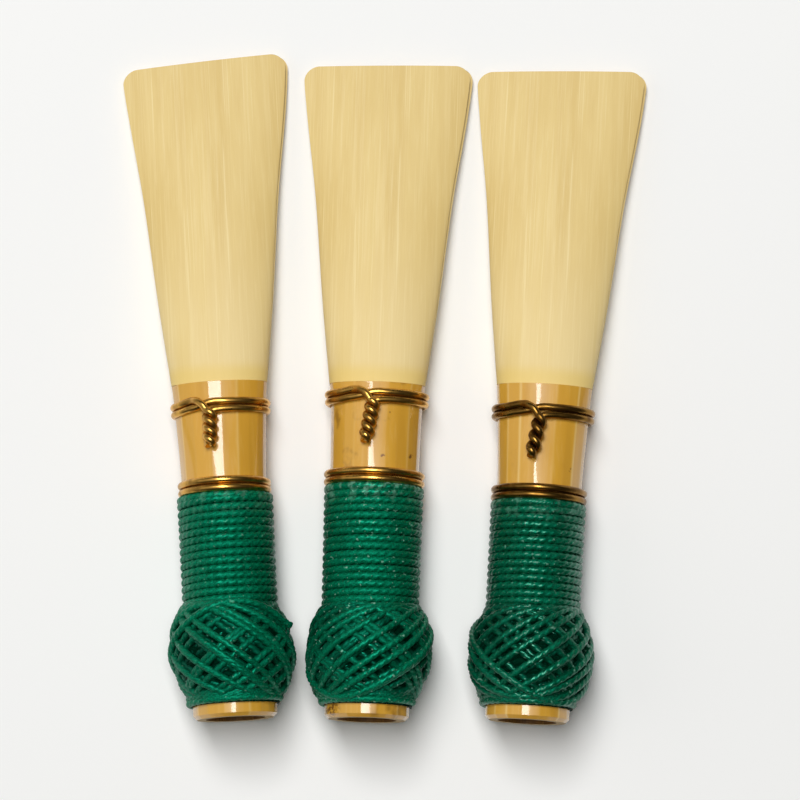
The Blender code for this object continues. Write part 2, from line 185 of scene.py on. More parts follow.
@dataclass(frozen=True)
class ReedForm:
    """The law of one reed's shape, station by station along its axis."""

    sizes: ReedSizes
    butt_diameter: float = 7.25 * MM
    bore_diameter: float = 5.1 * MM
    butt_chamfer: float = 0.3 * MM
    throat_height: float = 7.0 * MM
    throat_wall: float = 1.2 * MM
    first_wire_width: float = 7.95 * MM
    first_wire_height: float = 5.5 * MM
    collar: float = 29.0 * MM
    collar_width: float = 8.3 * MM
    collar_height: float = 5.1 * MM
    collar_wall: float = 1.15 * MM
    bark_step: float = 0.2 * MM
    blade_root: float = 0.95 * MM
    tip_thickness: float = 0.13 * MM
    tip_arch: float = 0.42 * MM
    tip_edge: float = 0.45 * MM
    tip_corner: float = 1.3 * MM
    slant_reach: float = 5.0 * MM
    edge_lip: float = 0.04 * MM
    seam_gap: float = 0.03 * MM
    blade_opening: float = 0.5
    ball_start: float = 1.1 * MM
    ball_end: float = 10.2 * MM
    ball_station: float = 5.9 * MM
    ball_lip: float = 0.3 * MM
    ball_fullness: float = 0.7
    thread_cover: float = 0.51 * MM
    flare: tuple[tuple[float, float], ...] = (
        (0.0, 0.0),
        (0.26, 0.28),
        (0.58, 0.57),
        (0.83, 0.88),
        (0.95, 1.0),
        (1.0, 1.0),
    )

    @property
    def first_wire(self) -> float:
        """The first wire's station, a little below the collar."""
        return self.collar - self.sizes.wire_drop

    @property
    def second_wire(self) -> float:
        """The second wire's station, where the tube turns from round to oval."""
        return self.first_wire - self.sizes.wire_spacing

    @property
    def facet_edges(self) -> list[float]:
        """The turns at which the bark's shallow lengthwise flats meet, all round the tube.

        Returns:
            The turns in rising order, from half a turn back to half a turn on.
        """
        draw = random.Random(self.sizes.facet_seed)
        steps = [draw.uniform(0.75, 1.5) for _ in range(19)]
        scale = FULL_TURN / sum(steps)
        edges = [-math.pi]
        for step in steps:
            edges.append(edges[-1] + step * scale)
        return edges

    def half_width(self, y: float) -> float:
        """The tube's half width at station y.

        Args:
            y: The station along the reed.

        Returns:
            The half width to the bark.
        """
        stations = (
            (0.0, self.butt_diameter / 2),
            (self.second_wire, self.sizes.throat_width / 2),
            (self.first_wire, self.first_wire_width / 2),
            (self.collar, self.collar_width / 2),
        )
        return through(stations, y)

    def half_height(self, y: float) -> float:
        """The tube's half height at station y.

        Args:
            y: The station along the reed.

        Returns:
            The half height to the bark.
        """
        stations = (
            (0.0, self.butt_diameter / 2),
            (self.second_wire, self.throat_height / 2),
            (self.first_wire, self.first_wire_height / 2),
            (self.collar, self.collar_height / 2),
        )
        return through(stations, y)

    def wall(self, y: float) -> float:
        """The tube wall's thickness at station y.

        Args:
            y: The station along the reed.

        Returns:
            The thickness from bore to bark.
        """
        butt_wall = (self.butt_diameter - self.bore_diameter) / 2
        stations = (
            (0.0, butt_wall),
            (self.second_wire, self.throat_wall),
            (self.collar, self.collar_wall),
        )
        return through(stations, y)

    def share(self, y: float) -> float:
        """How far along the blade station y is, from 0 at the collar to 1 at the tip."""
        return min(max((y - self.collar) / (self.sizes.length - self.collar), 0.0), 1.0)

    def edge_gap(self, y: float) -> float:
        """Half the gap between the two blades' side edges, which opens towards the tip."""
        opening = math.tan(math.radians(self.blade_opening))
        return self.seam_gap / 2 + max(y - self.collar, 0.0) * opening

    def blade_half_width(self, y: float) -> float:
        """The blade's half width at station y, before its tip corners are rounded."""
        flare = through(self.flare, self.share(y))
        return mix(self.collar_width, self.sizes.tip_width, flare) / 2

    def blade_half_height(self, y: float) -> float:
        """The height of the blade's crown over the reed's middle plane.

        Args:
            y: The station along the reed.

        Returns:
            The height to the scraped face.
        """
        tip = self.edge_gap(self.sizes.length) + self.edge_lip + self.tip_arch
        root = self.collar_height / 2 - self.bark_step
        return mix(tip, root, (1 - self.share(y)) ** 1.25)

    def corner_cut(self, y: float) -> float:
        """How much the rounded tip corner takes off each side at station y.

        Args:
            y: The station along the reed.

        Returns:
            The cut, 0 before the corner begins.
        """
        past = y - (self.sizes.length - self.tip_corner)
        if past <= 0:
            return 0.0
        return self.tip_corner - math.sqrt(max(self.tip_corner**2 - past**2, 0.0))

    def slant(self, x: float, y: float) -> float:
        """How far along the reed the slanted tip carries a point of the blade."""
        near_tip = smoothstep(1 - (self.sizes.length - y) / self.slant_reach)
        return x * math.tan(math.radians(self.sizes.tip_slant)) * near_tip

    def bark_point(self, y: float, turn: float, height: float) -> Vector:
        """A point over the tube's bark.

        Args:
            y: The station along the reed.
            turn: The angle round the tube, 0 on top and growing towards +X.
            height: How far out from the bark.

        Returns:
            The point in the reed's frame.
        """
        a, b = self.half_width(y), self.half_height(y)
        out = Vector((math.sin(turn) / a, 0.0, math.cos(turn) / b)).normalized()
        return Vector((a * math.sin(turn), y, b * math.cos(turn))) + height * out

    def ball_radius(self, y: float) -> float:
        """The ball's outer radius: full in the middle and drawn in at both ends.

        Args:
            y: The station along the reed.

        Returns:
            The radius to the ball's surface.
        """
        low, reach = self.butt_diameter / 2 + self.ball_lip, self.ball_station - self.ball_start
        if y > self.ball_station:
            low = self.half_width(self.ball_end) + self.thread_cover
            reach = self.ball_end - self.ball_station
        share = min(abs(y - self.ball_station) / reach, 1.0)
        fullness = max(math.cos(math.pi / 2 * share), 0.0) ** self.ball_fullness
        return low + (self.sizes.ball_diameter / 2 - low) * fullness

    def ball_point(self, y: float, turn: float, depth: float) -> Vector:
        """A point this deep under the ball's surface, measured square to it.

        Args:
            y: The station along the reed.
            turn: The angle round the ball, 0 on top.
            depth: How far under the surface.

        Returns:
            The point in the reed's frame.
        """
        step = 0.05 * MM
        slope = (self.ball_radius(y + step) - self.ball_radius(y - step)) / (2 * step)
        lean = max(min(slope, 1.2), -1.2)
        size = math.hypot(1.0, lean)
        radius = self.ball_radius(y) - depth / size
        return Vector((radius * math.sin(turn), y + depth * lean / size, radius * math.cos(turn)))


@dataclass(frozen=True)
class ReedPlace:
    """Where a reed lies: the turn and shift from its own frame to the set's."""

    matrix: Matrix

    @classmethod
    def of(cls, form: ReedForm) -> "ReedPlace":
        """Reads a reed's place from its lower blade's hinge and its butt's mount.

        Args:
            form: The reed's form, for its name and its collar's station.

        Returns:
            The place, with its origin in the middle of the butt's face.
        """
        name = form.sizes.name
        hinge = next(j for j in frame["joints"] if j["name"] == f"{name}_lower_blade_close")
        mount = next(m for m in frame["record"]["mounts"] if m["name"] == f"{name}_butt_face")
        along = -Vector(mount["axis"]).normalized()
        across = Vector(hinge["axis"])
        across = (across - across.dot(along) * along).normalized()
        up = across.cross(along)
        origin = Vector(hinge["pos_m"]) - form.collar * along
        turn = Matrix((across, along, up)).transposed().to_4x4()
        return cls(Matrix.Translation(origin) @ turn)

    def point(self, x: float, y: float, z: float) -> Vector:
        """A point of the reed's frame, in the set's frame."""
        return self.matrix @ Vector((x, y, z))


# Meshes.


def write_attribute(mesh: bpy.types.Mesh, name: str, kind: str, values: Sequence[float]) -> None:
    """Stores one value, or one vector's numbers, for each point of a mesh."""
    made = mesh.attributes.new(name, kind, "POINT")
    made.data.foreach_set("vector" if kind == "FLOAT_VECTOR" else "value", values)


def dress(
    name: str,
    mesh: bpy.types.Mesh,
    place: ReedPlace,
    materials: Sequence[bpy.types.Material],
    sharp: float = 35.0,
) -> bpy.types.Object:
    """Makes a piece from a mesh in a reed's own frame.

    The points' places in that frame, in millimetres, are kept as the attribute "lie", which the
    finishes read. The piece's object stands at the origin.

    Args:
        name: The piece's name.
        mesh: The mesh, in the reed's own frame.
        place: Where the reed lies.
        materials: The piece's finishes, in the order of its faces' material numbers.
        sharp: The angle in degrees past which an edge stays crisp.

    Returns:
        The piece.
    """
    lie = [number / MM for vertex in mesh.vertices for number in vertex.co]
    write_attribute(mesh, "lie", "FLOAT_VECTOR", lie)
    mesh.transform(place.matrix)
    mesh.shade_smooth()
    mesh.set_sharp_from_angle(angle=math.radians(sharp))
    for material in materials:
        mesh.materials.append(material)
    mesh.name = name
    piece = bpy.data.objects.new(name, mesh)
    bpy.context.scene.collection.objects.link(piece)
    log.info("%s: %d faces", name, len(mesh.polygons))
    return piece


def mesh_of(bm: bmesh.types.BMesh, name: str) -> bpy.types.Mesh:
    """Turns a finished bmesh into a mesh, with its faces pointing out.

    Args:
        bm: The finished bmesh, which is used up.
        name: The mesh's name.

    Returns:
        The mesh.
    """
    bmesh.ops.recalc_face_normals(bm, faces=bm.faces)
    mesh = bpy.data.meshes.new(name)
    bm.to_mesh(mesh)
    bm.free()
    return mesh


class SlabFace(Enum):
    """The material numbers of a slab's faces."""

    OUTER = 0
    INNER = 1
    RIM = 2


def slab(
    columns: int,
    rows: int,
    outer: Callable[[float, int], Vector],
    inner: Callable[[float, int], Vector],
) -> bmesh.types.BMesh:
    """A curved plate: a grid laid on its outer face and extruded to its inner face.

    Args:
        columns: How many faces lie across the plate.
        rows: How many faces lie along it.
        outer: The outer face's point at a share across and a row number.
        inner: The inner face's point there.

    Returns:
        The closed plate, its faces numbered by SlabFace.
    """
    bm = bmesh.new()
    across = bm.verts.layers.float.new("across")
    row = bm.verts.layers.int.new("row")
    grid = bmesh.ops.create_grid(bm, x_segments=columns, y_segments=rows, size=0.5)
    for vertex in grid["verts"]:
        vertex[across] = vertex.co.x + 0.5
        vertex[row] = round((vertex.co.y + 0.5) * rows)
    sheet = list(bm.faces)
    extruded = bmesh.ops.extrude_face_region(bm, geom=sheet)["geom"]
    inside = {item for item in extruded if isinstance(item, bmesh.types.BMVert)}
    for vertex in bm.verts:
        shape = inner if vertex in inside else outer
        vertex.co = shape(vertex[across], vertex[row])
    for face in bm.faces:
        within = sum(vertex in inside for vertex in face.verts)
        kind = SlabFace.RIM
        if within == 0:
            kind = SlabFace.OUTER
        elif within == len(face.verts):
            kind = SlabFace.INNER
        face.material_index = kind.value
    return bm


def swept(name: str, points: Sequence[Vector], radius: float, sides: int = 12) -> bpy.types.Mesh:
    """A round wire along a smooth curve through the points, with closed ends.

    Args:
        name: The mesh's name.
        points: The wire's route.
        radius: The wire's radius.
        sides: How many sides its section has.

    Returns:
        The wire's mesh.
    """
    curve = bpy.data.curves.new(name, "CURVE")
    curve.dimensions = "3D"
    curve.bevel_depth = radius
    curve.bevel_resolution = sides // 2 - 2
    curve.use_fill_caps = True
    curve.resolution_u = 4
    spline = curve.splines.new("BEZIER")
    spline.bezier_points.add(len(points) - 1)
    for knot, point in zip(spline.bezier_points, points):
        knot.co = point
        knot.handle_left_type = "AUTO"
        knot.handle_right_type = "AUTO"
    return curve_mesh(name, curve)


def plied(
    name: str, points: Sequence[Vector], section: Sequence[tuple[float, float]], ply: float
) -> bpy.types.Mesh:
    """A plied thread along the points: its lobed section turns steadily as it goes.

    Args:
        name: The mesh's name.
        points: The thread's route, a fifth of a millimetre or less apart.
        section: The outline of the thread's cross-section.
        ply: The length in which the plies go round once.

    Returns:
        The thread's mesh.
    """
    outline = bpy.data.curves.new(f"{name}_section", "CURVE")
    outline.dimensions = "2D"
    loop = outline.splines.new("POLY")
    loop.points.add(len(section) - 1)
    loop.use_cyclic_u = True
    for knot, (x, y) in zip(loop.points, section):
        knot.co = (x, y, 0.0, 1.0)
    outline_object = bpy.data.objects.new(f"{name}_section", outline)
    curve = bpy.data.curves.new(name, "CURVE")
    curve.dimensions = "3D"
    curve.bevel_mode = "OBJECT"
    curve.bevel_object = outline_object
    curve.use_fill_caps = True
    spline = curve.splines.new("POLY")
    spline.points.add(len(points) - 1)
    run, before = 0.0, points[0]
    for knot, point in zip(spline.points, points):
        run += (point - before).length
        before = point
        knot.co = (*point, 1.0)
        knot.tilt = FULL_TURN * math.fmod(run / ply, 1.0)
    mesh = curve_mesh(name, curve)
    bpy.data.objects.remove(outline_object)
    bpy.data.curves.remove(outline)
    return mesh


def curve_mesh(name: str, curve: bpy.types.Curve) -> bpy.types.Mesh:
    """The mesh of a curve with its end caps welded on. The curve is used up.

    Args:
        name: The mesh's name.
        curve: The curve, with its bevel set.

    Returns:
        The closed mesh.
    """
    holder = bpy.data.objects.new(f"{name}_route", curve)
    bpy.context.scene.collection.objects.link(holder)
    graph = bpy.context.evaluated_depsgraph_get()
    mesh = bpy.data.meshes.new_from_object(holder.evaluated_get(graph), depsgraph=graph)
    bpy.data.objects.remove(holder)
    bpy.data.curves.remove(curve)
    bm = bmesh.new()
    bm.from_mesh(mesh)
    bmesh.ops.remove_doubles(bm, verts=bm.verts, dist=0.001 * MM)
    bmesh.ops.recalc_face_normals(bm, faces=bm.faces)
    bm.to_mesh(mesh)
    bm.free()
    return mesh


# Finishes.


def tint(red: int, green: int, blue: int) -> Colour:
    """The scene-linear colour of a screen colour given from 0 to 255."""
    shares = (channel / 255 for channel in (red, green, blue))
    return tuple(s / 12.92 if s <= 0.04045 else ((s + 0.055) / 1.055) ** 2.4 for s in shares)


class Recipe:
    """A node material in the making."""

    def __init__(self, name: str) -> None:
        """Starts a material with a bare Principled shader.

        Args:
            name: The material's name.
        """
        self.material = bpy.data.materials.new(name)
        self.material.use_nodes = True
        self.tree = self.material.node_tree
        self.shader = self.tree.nodes["Principled BSDF"]
        place = self.tree.nodes.new("ShaderNodeAttribute")
        place.attribute_name = "lie"
        self.lie = place.outputs["Vector"]

    def node(self, kind: str, inputs: dict, **settings: object) -> bpy.types.Node:
        """Adds a node.

        Args:
            kind: The node's type.
            inputs: A value or a socket for each input, by its name or number.
            settings: The node's own settings.

        Returns:
            The node.
        """
        made = self.tree.nodes.new(kind)
        for key, value in settings.items():
            setattr(made, key, value)
        for key, value in inputs.items():
            if isinstance(value, bpy.types.NodeSocket):
                self.tree.links.new(value, made.inputs[key])
            else:
                made.inputs[key].default_value = value
        return made

    def grain(
        self, per_mm: tuple[float, float, float], detail: float = 3.0, shift: float = 0.0
    ) -> bpy.types.NodeSocket:
        """Noise stretched along the reed.

        Args:
            per_mm: How many features fit in a millimetre across, along and up.
            detail: How many finer layers the noise has.
            shift: Moves the pattern, so that two grains differ.

        Returns:
            The noise's value, about 0.5 on the whole.
        """
        mapped = self.node(
            "ShaderNodeMapping", {"Vector": self.lie, "Scale": per_mm, "Location": (shift, shift, shift)}
        )
        made = self.node(
            "ShaderNodeTexNoise",
            {"Vector": mapped.outputs["Vector"], "Scale": 1.0, "Detail": detail, "Roughness": 0.55},
        )
        return made.outputs[0]

    def band(
        self, value: bpy.types.NodeSocket, start: float, end: float, low: float = 0.0, high: float = 1.0
    ) -> bpy.types.NodeSocket:
        """Eases from low to high as a value goes from start to end.

        Args:
            value: The value that is read.
            start: Where the ease starts.
            end: Where it ends.
            low: The result at the start.
            high: The result at the end.

        Returns:
            The eased value.
        """
        made = self.node(
            "ShaderNodeMapRange",
            {"Value": value, "From Min": start, "From Max": end, "To Min": low, "To Max": high},
            interpolation_type="SMOOTHSTEP",
        )
        return made.outputs["Result"]

    def times(self, *values: object) -> bpy.types.NodeSocket:
        """The product of two or more sockets or numbers.

        Args:
            values: The sockets and numbers.

        Returns:
            Their product.
        """
        product = values[0]
        for value in values[1:]:
            made = self.node("ShaderNodeMath", {0: product, 1: value}, operation="MULTIPLY")
            product = made.outputs[0]
        return product

    def blend(self, share: bpy.types.NodeSocket, first: object, second: object) -> bpy.types.NodeSocket:
        """Mixes two colours, each a socket or a plain colour.

        Args:
            share: How much of the second colour shows.
            first: The colour where share is 0.
            second: The colour where share is 1.

        Returns:
            The mixed colour.
        """
        made = self.tree.nodes.new("ShaderNodeMix")
        made.data_type = "RGBA"
        self.tree.links.new(share, made.inputs[0])
        for socket, value in ((made.inputs[6], first), (made.inputs[7], second)):
            if isinstance(value, bpy.types.NodeSocket):
                self.tree.links.new(value, socket)
            else:
                socket.default_value = (*value, 1.0)
        return made.outputs[2]

    def parts_of_lie(self) -> tuple[bpy.types.NodeSocket, ...]:
        """The places across, along and up the reed, in millimetres."""
        split = self.node("ShaderNodeSeparateXYZ", {0: self.lie})
        return split.outputs[0], split.outputs[1], split.outputs[2]

    def near(self, place: tuple[float, float], radius: float) -> bpy.types.NodeSocket:
        """A soft round mask about a place across and along the reed, in millimetres.

        Args:
            place: The spot's middle, across and along the reed.
            radius: The spot's radius.

        Returns:
            The mask, 1 in the middle and 0 past the radius.
        """
        across, along, _ = self.parts_of_lie()
        flat = self.node("ShaderNodeCombineXYZ", {"X": across, "Y": along})
        gap = self.node(
            "ShaderNodeVectorMath", {0: flat.outputs[0], 1: (*place, 0.0)}, operation="DISTANCE"
        )
        return self.band(gap.outputs["Value"], radius, 0.3 * radius)

    def relief(self, height: bpy.types.NodeSocket, distance: float, strength: float = 1.0) -> None:
        """Raises the surface by a height.

        Args:
            height: The height socket.
            distance: The height of 1, in metres.
            strength: How strongly the relief shows.
        """
        inputs = {"Height": height, "Distance": distance, "Strength": strength}
        bump = self.node("ShaderNodeBump", inputs)
        self.tree.links.new(bump.outputs["Normal"], self.shader.inputs["Normal"])

    def finish(self, colour: object, roughness: object, **plain: object) -> bpy.types.Material:
        """Plugs the colour and roughness in and sets the shader's plain values.

        Args:
            colour: The base colour, a socket or a plain colour.
            roughness: The roughness, a socket or a number.
            plain: Other shader inputs by name, with _ for each space.

        Returns:
            The material.
        """
        for name, value in (("Base Color", colour), ("Roughness", roughness)):
            if isinstance(value, bpy.types.NodeSocket):
                self.tree.links.new(value, self.shader.inputs[name])
            else:
                full = (*value, 1.0) if isinstance(value, tuple) else value
                self.shader.inputs[name].default_value = full
        for name, value in plain.items():
            self.shader.inputs[name.replace("_", " ")].default_value = value
        return self.material


@dataclass(frozen=True)
class ScrapedCane:
    """Scraped blade wood: pale straw with fine lengthwise fibres, yellower at the collar, with a painted sheen
    that lightens the blade just above it.
    """

    name: str
    collar: float
    straw: Colour = tint(232, 205, 137)
    fibre: Colour = tint(246, 226, 168)
    shade: Colour = tint(219, 188, 117)
    root: Colour = tint(234, 204, 122)
    # Painted sheen: the paler colour laid over the blade's lower part.
    pale: Colour = tint(245, 223, 166)

    def make(self) -> bpy.types.Material:
        """The finish as a material.

        Returns:
            The material.
        """
        r = Recipe(self.name)
        broad = r.grain((0.45, 0.05, 0.45), 3.0, 3.1)
        streaks = r.grain((3.4, 0.045, 1.0), 4.0, 7.7)
        hairs = r.grain((6.0, 0.035, 1.0), 2.0, 5.3)
        fine = r.grain((9.0, 0.3, 3.0), 5.0, 1.3)
        colour = r.blend(r.times(r.band(broad, 0.3, 0.7), 0.75), self.straw, self.shade)
        colour = r.blend(r.times(r.band(streaks, 0.52, 0.7), 0.17), colour, self.fibre)
        colour = r.blend(r.times(r.band(hairs, 0.6, 0.7), 0.5), colour, self.fibre)
        colour = r.blend(r.times(r.band(fine, 0.5, 0.75), 0.25), colour, self.fibre)
        colour = r.blend(r.times(r.band(fine, 0.45, 0.25), 0.3), colour, self.shade)
        along = r.parts_of_lie()[1]
        # Painted sheen: the blade turns paler over the 16 mm above the collar, broken up by the broad grain, in
        # place of the key light's sheen there.
        low = r.band(along, self.collar / MM + 16.0, self.collar / MM + 2.0)
        colour = r.blend(r.times(low, r.band(broad, 0.25, 0.6), 0.6), colour, self.pale)
        root = r.band(along, self.collar / MM + 2.0, self.collar / MM + 0.6)
        colour = r.blend(r.times(root, 0.8), colour, self.root)
        r.relief(fine, 0.012 * MM, 0.5)
        return r.finish(colour, r.band(streaks, 0.3, 0.7, 0.62, 0.5), Specular_IOR_Level=0.3)


@dataclass(frozen=True)
class Bark:
    """Cane bark: golden ochre under a hard gloss, with pale scoring lines and brown specks."""

    name: str
    stain: float
    speckles: tuple[tuple[float, float, float], ...]
    gold: Colour = tint(213, 160, 54)
    deep: Colour = tint(198, 144, 42)
    line: Colour = tint(234, 200, 124)
    speck: Colour = tint(112, 66, 16)

    def make(self) -> bpy.types.Material:
        """The finish as a material.

        Returns:
            The material.
        """
        r = Recipe(self.name)
        bands = r.grain((0.9, 0.012, 0.9), 2.0, 2.2)
        hairs = r.grain((5.0, 0.05, 5.0), 4.0, 9.4)
        rough_edge = r.grain((3.0, 3.0, 3.0), 3.0, 5.9)
        stains = r.grain((0.45, 0.35, 0.45), 3.0, 4.2)
        ridge = r.node("ShaderNodeAttribute", {}, attribute_name="ridge").outputs["Fac"]
        colour = r.blend(r.times(r.band(bands, 0.35, 0.65), 0.45), self.gold, self.deep)
        colour = r.blend(r.times(r.band(hairs, 0.5, 0.75), 0.12), colour, self.line)
        colour = r.blend(r.times(r.band(stains, 0.56, 0.7), self.stain), colour, self.speck)
        for across, along, radius in self.speckles:
            spot = r.near((across, along), radius)
            colour = r.blend(r.times(spot, r.band(rough_edge, 0.4, 0.6)), colour, self.speck)
        colour = r.blend(r.times(ridge, 0.8), colour, self.line)
        r.relief(hairs, 0.006 * MM, 0.35)
        roughness = r.band(hairs, 0.35, 0.7, 0.3, 0.4)
        return r.finish(colour, roughness, Coat_Weight=0.8, Coat_Roughness=0.06)


@dataclass(frozen=True)
class CutCane:
    """Cane cut across or gouged: a tan, fibrous wood that darkens inside the bore."""

    name: str
    tan: Colour
    pore: Colour

    def make(self) -> bpy.types.Material:
        """The finish as a material.

        Returns:
            The material.
        """
        r = Recipe(self.name)
        pores = r.grain((7.0, 0.4, 7.0), 3.0, 6.6)
        cloud = r.grain((0.8, 0.1, 0.8), 2.0, 0.8)
        colour = r.blend(r.times(r.band(pores, 0.45, 0.7), 0.7), self.tan, self.pore)
        colour = r.blend(r.times(r.band(cloud, 0.4, 0.8), 0.5), colour, self.pore)
        r.relief(pores, 0.02 * MM, 0.6)
        return r.finish(colour, 0.55, Specular_IOR_Level=0.3)


@dataclass(frozen=True)
class SoftBrass:
    """Drawn soft brass wire, browned where fingers and glue have been."""

    name: str
    metal: Colour
    tarnish: Colour
    dulled: float

    def make(self) -> bpy.types.Material:
        """The finish as a material.

        Returns:
            The material.
        """
        r = Recipe(self.name)
        patches = r.grain((0.9, 0.9, 0.9), 3.0, 8.8)
        draws = r.grain((6.0, 6.0, 6.0), 2.0, 2.4)
        colour = r.blend(r.times(r.band(patches, 0.4, 0.72), self.dulled), self.metal, self.tarnish)
        r.relief(draws, 0.006 * MM, 0.4)
        return r.finish(colour, r.band(patches, 0.35, 0.75, 0.27, 0.42), Metallic=1.0)


@dataclass(frozen=True)
class PliedThread:
    """Emerald thread sealed with clear glue, whitish where the glue pooled under the wire, with painted shade that
    darkens it the deeper it lies in the winding.
    """

    name: str
    glue_station: float
    glue: float
    gloss: float
    shine: float
    coat: float = 0.0
    bright: Colour = tint(0, 116, 79)
    deep: Colour = tint(0, 56, 36)
    # Painted shade: the near-black green of the grooves and of the ball's inside.
    hollow: Colour = tint(0, 14, 8)
    film: Colour = tint(128, 176, 154)
    lustre: Colour = (0.03, 1.0, 0.6)

    def make(self) -> bpy.types.Material:
        """The finish as a material.

        Returns:
            The material.
        """
        r = Recipe(self.name)
        along = r.parts_of_lie()[1]
        fibres = r.grain((9.0, 9.0, 9.0), 3.0, 1.9)
        patches = r.grain((0.55, 0.55, 0.55), 3.0, 4.7)
        clots = r.grain((1.5, 1.1, 1.5), 3.0, 7.1)
        colour = r.blend(r.band(fibres, 0.35, 0.65), self.deep, self.bright)
        colour = r.blend(r.times(r.band(patches, 0.45, 0.7), 0.3), colour, self.deep)
        # Painted shade: the thread darkens the deeper a point lies, in place of the shade in the grooves and
        # inside the ball.
        depth = r.node("ShaderNodeAttribute", {}, attribute_name="depth").outputs["Fac"]
        colour = r.blend(r.times(r.band(depth, 0.1, 1.1), 0.95), colour, self.hollow)
        top = self.glue_station / MM
        pooled = r.times(r.band(along, top - 3.2, top + 0.3), r.band(clots, 0.47, 0.66), self.glue)
        colour = r.blend(pooled, colour, self.film)
        dots = r.band(r.grain((2.6, 2.6, 2.6), 1.0, 3.3), 0.67, 0.74)
        colour = r.blend(r.times(dots, self.glue), colour, self.film)
        r.relief(fibres, 0.03 * MM, 0.6)
        sealed = r.band(patches, 0.4, 0.62, 0.6, self.gloss)
        return r.finish(
            colour, sealed, Specular_IOR_Level=self.shine, Specular_Tint=(*self.lustre, 1.0),
            Coat_Weight=self.coat, Coat_Roughness=0.14,
        )


@dataclass(frozen=True)
class PalePaper:
    """The pale surface that the reeds lie on."""

    name: str = "pale_paper"
    colour: Colour = tint(250, 250, 248)

    def make(self) -> bpy.types.Material:
        """The finish as a material."""
        return Recipe(self.name).finish(self.colour, 0.9, Specular_IOR_Level=0.1)


# Sub-assemblies.


@dataclass(frozen=True)
class CaneTube:
    """One half of the tube, from the chamfered butt to the collar's shoulder."""

    form: ReedForm
    side: Side
    columns: int = 120
    chamfer_rows: int = 5
    tube_rows: int = 84
    shoulder_drop: float = 0.05 * MM
    flatness: float = 0.6
    ridge_width: float = math.radians(1.6)

    @property
    def stations(self) -> list[float]:
        """The rows' stations, close together at the chamfer and the shoulder.

        Returns:
            The stations from butt to shoulder.
        """
        chamfer, shoulder = self.form.butt_chamfer, self.form.collar
        butt = spaced(0.0, chamfer, self.chamfer_rows)
        tube = spaced(chamfer + 0.08 * MM, shoulder - 0.1 * MM, self.tube_rows)
        return [*butt, *tube, shoulder - 0.03 * MM, shoulder]

    def turn(self, across: float) -> float:
        """The angle round the tube at a share across this half."""
        return math.pi * (across - 0.5)

    def whole_turn(self, across: float) -> float:
        """The same angle measured right round the reed, so that the two halves differ."""
        turn = self.turn(across)
        return turn if self.side is Side.UPPER else math.pi - turn

    def nearest_flat(self, across: float) -> tuple[float, float, float]:
        """The flat that a place lies on, as its middle, half width and the place's own turn.

        Args:
            across: The share across this half.

        Returns:
            The flat's middle, its half width and the place's turn.
        """
        edges = self.form.facet_edges
        turn = (self.whole_turn(across) + math.pi) % FULL_TURN - math.pi
        low, high = next(pair for pair in zip(edges, edges[1:]) if turn <= pair[1] + 1e-9)
        return (low + high) / 2, (high - low) / 2, turn

    def outer(self, across: float, row: int) -> Vector:
        """A point on the bark.

        Args:
            across: The share across this half.
            row: The row's number.

        Returns:
            The point in the reed's frame.
        """
        y = self.stations[row]
        middle, half, turn = self.nearest_flat(across)
        flat = math.cos(half) / math.cos(turn - middle)
        drop = mix(1.0, flat, self.flatness)
        chamfer = max(self.form.butt_chamfer - y, 0.0)
        shoulder = self.shoulder_drop if row == len(self.stations) - 1 else 0.0
        a = self.form.half_width(y) * drop - chamfer - shoulder
        b = self.form.half_height(y) * drop - chamfer - shoulder
        angle = self.turn(across)
        lift = self.form.seam_gap / 2
        return Vector((a * math.sin(angle), y, self.side.value * (lift + (b - lift) * math.cos(angle))))

    def inner(self, across: float, row: int) -> Vector:
        """A point on the bore.

        Args:
            across: The share across this half.
            row: The row's number.

        Returns:
            The point in the reed's frame.
        """
        y = self.stations[row]
        wall = self.form.wall(y)
        a, b = self.form.half_width(y) - wall, self.form.half_height(y) - wall
        angle = self.turn(across)
        lift = self.form.seam_gap / 2
        return Vector((a * math.sin(angle), y, self.side.value * (lift + (b - lift) * math.cos(angle))))

    def ridge(self, across: float) -> float:
        """How strongly a pale scoring line shows at a share across this half.

        Args:
            across: The share across this half.

        Returns:
            The line's strength, from 0 to 1.
        """
        middle, half, turn = self.nearest_flat(across)
        offset = (abs(turn - middle) - half) / self.ridge_width
        strength = max(wander(turn * 2.3, self.form.sizes.facet_seed) * 2.2 + 0.25, 0.0)
        return min(strength, 1.0) * math.exp(-(offset**2))

    def build(self, place: ReedPlace, finishes: "Finishes") -> bpy.types.Object:
        """Makes the tube half as a piece that rides on its reed.

        Args:
            place: Where the reed lies.
            finishes: The reed's finishes.

        Returns:
            The piece.
        """
        stations = self.stations
        lines = {k: self.ridge(k / self.columns) for k in range(self.columns + 1)}
        bm = slab(self.columns, len(stations) - 1, self.outer, self.inner)
        across = bm.verts.layers.float["across"]
        ridge = [lines[round(vertex[across] * self.columns)] for vertex in bm.verts]
        name = f"{self.form.sizes.name}_{self.side.label}_cane"
        mesh = mesh_of(bm, name)
        write_attribute(mesh, "ridge", "FLOAT", ridge)
        piece = dress(name, mesh, place, (finishes.bark, finishes.bore, finishes.cut))
        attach(piece, f"{self.form.sizes.name}_reed")
        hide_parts(f"{self.form.sizes.name}_{self.side.label}_tube")
        return piece


